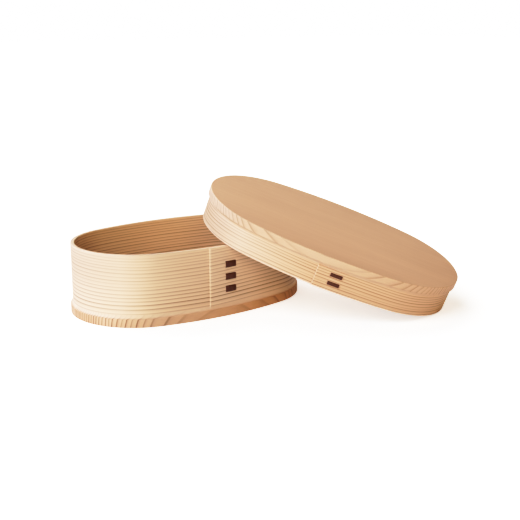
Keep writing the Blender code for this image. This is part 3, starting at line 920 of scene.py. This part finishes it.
class LUNCHBOX_OT_lacings(bpy.types.Operator):
    """Add the bark lacings that sew the laps"""
    bl_idname = "lunch_box.lacings"
    bl_label = "Bark lacings"

    def execute(self, context):
        box = context.scene.lunch_box
        making = box.making
        tree = stitch_tree()
        for half, body, node in ((box.body, "box", "body_lacing"), (box.lid, "lid", "lid_lacing")):
            material = cherry_bark("cherry_bark_" + node, box.colours)
            way = stitch_way(half)
            inset = way * making.bark / 2
            lacing = add_object(node + "_bark", bmesh.new())
            add_modifier(lacing, tree, {
                "Stitches": half.stitches, "First": half.first_stitch + inset,
                "Stitch": way * (half.stitch - making.bark), "Gap": way * (half.stitch_gap + making.bark),
                "Tuck": way * making.bark, "Middle": half.lap_start + half.lap / 2,
                "Outside": raised(half, making, share=0.5) + making.bark / 2 + SLIT_GAP,
                "Inside": -half.wall - making.bark / 2 - SLIT_GAP,
                "Width": making.bark_width, "Thickness": making.bark, "Fold": making.bark,
                "Rounding": making.bark_round, "Material": material})
            bend(lacing, half, material, grain_follows=True)
            make_plain(lacing)
            finish_piece(lacing, node, body)
        return {"FINISHED"}


def set_tone(settings):
    """Give the picture the tone curve of a printed product photograph."""
    settings.view_transform = "Standard"
    settings.use_curve_mapping = True
    mapping = settings.curve_mapping
    white = TONE_CURVE[-1][0]
    mapping.white_level = (white, white, white)
    *_, combined = mapping.curves
    for light, shown in TONE_CURVE[1:-1]:
        combined.points.new(light / white, shown)
    mapping.update()


def add_floor(stage):
    """Lay matt white paper with a very faint tooth.

    It glows to the camera alone, so that shadows on it stay as faint as on a lit table.
    """
    bm = bmesh.new()
    bmesh.ops.create_grid(bm, size=FLOOR_REACH)
    floor = add_object("floor", bm)
    material, tree, shader = new_material("matt_paper")
    place = add_node(tree, "ShaderNodeTexCoord").outputs["Object"]
    known = {"tooth": add_node(tree, "ShaderNodeTexNoise", {"Vector": place, "Scale": 1 / PAPER_TOOTH})}
    known["to_camera"] = add_node(tree, "ShaderNodeLightPath").outputs["Is Camera Ray"]
    add_rules(tree, known, (
        ("rough", "MAP_RANGE", "tooth", 0, 1, *PAPER_ROUGHNESS),
        ("glow", "MULTIPLY", "to_camera", stage.glow)))
    set_inputs(tree, shader, {
        "Base Color": rgba(stage.floor), "Roughness": known["rough"],
        "Emission Color": WHITE, "Emission Strength": known["glow"]})
    floor.data.materials.append(material)


def add_room(scene):
    """Make the room white to the camera and dark to the box, which the lamps alone light."""
    world = bpy.data.worlds.new("white_room")
    world.use_nodes = True
    tree = world.node_tree
    to_camera = add_node(tree, "ShaderNodeLightPath").outputs["Is Camera Ray"]
    strength = add_node(tree, "ShaderNodeMath", [to_camera, TONE_CURVE[-1][0]], operation="MULTIPLY")
    set_inputs(tree, tree.nodes["Background"], {"Color": WHITE, "Strength": strength})
    scene.world = world


def add_lamps(scene, stage):
    """Hang the soft lamps round the box, counted from where the camera stands."""
    backwards = Vector(stage.camera) - Vector(stage.target)
    for name, turn, height, strength, code in LAMPS:
        lamp = bpy.data.lights.new(name, "SUN")
        lamp.energy = strength * stage.light
        lamp.color = linear(code)
        lamp.angle = stage.spread
        way = math.atan2(backwards.y, backwards.x) - math.radians(turn)
        level = math.cos(math.radians(height))
        source = Vector((level * math.cos(way), level * math.sin(way), math.sin(math.radians(height))))
        obj = bpy.data.objects.new(name, lamp)
        obj.rotation_euler = source.to_track_quat("Z", "Y").to_euler()
        scene.collection.objects.link(obj)


def add_camera(scene, stage):
    """Set the camera up and point it at its target."""
    lens = bpy.data.cameras.new("camera")
    lens.lens = stage.lens
    camera = bpy.data.objects.new("camera", lens)
    camera.location = stage.camera
    camera.rotation_euler = (Vector(stage.target) - camera.location).to_track_quat("-Z", "Y").to_euler()
    scene.collection.objects.link(camera)
    scene.camera = camera


class LUNCHBOX_OT_stage(bpy.types.Operator):
    """Add the floor, the lights and the camera"""
    bl_idname = "lunch_box.stage"
    bl_label = "Stage"

    def execute(self, context):
        scene = context.scene
        stage = scene.lunch_box.stage
        set_tone(scene.view_settings)
        add_floor(stage)
        add_room(scene)
        add_lamps(scene, stage)
        add_camera(scene, stage)
        return {"FINISHED"}


class LUNCHBOX_PT_panel(bpy.types.Panel):
    """The steps that build the lunch box"""
    bl_idname = "LUNCHBOX_PT_panel"
    bl_label = "Lunch box"
    bl_space_type = "VIEW_3D"
    bl_region_type = "UI"
    bl_category = "Lunch box"

    def draw(self, context):
        for step in STEPS:
            self.layout.operator(step.bl_idname)
        for group in ("body", "lid", "making", "colours", "stage"):
            values = getattr(context.scene.lunch_box, group)
            part = self.layout.box()
            part.label(text=group.capitalize())
            for name in values.bl_rna.properties.keys():
                if name not in ("rna_type", "name"):
                    part.prop(values, name)


STEPS = (LUNCHBOX_OT_boards, LUNCHBOX_OT_walls, LUNCHBOX_OT_lacings, LUNCHBOX_OT_stage)
CLASSES = (BodySizes, LidSizes, MakingSizes, WoodColours, StageSettings, LunchBox, *STEPS, LUNCHBOX_PT_panel)


def register():
    for item in CLASSES:
        bpy.utils.register_class(item)
    bpy.types.Scene.lunch_box = bpy.props.PointerProperty(type=LunchBox)


def unregister():
    del bpy.types.Scene.lunch_box
    for item in reversed(CLASSES):
        bpy.utils.unregister_class(item)


def main():
    register()
    bpy.ops.lunch_box.boards()
    bpy.ops.lunch_box.walls()
    bpy.ops.lunch_box.lacings()
    bpy.ops.lunch_box.stage()


if __name__ == "__main__":
    main()
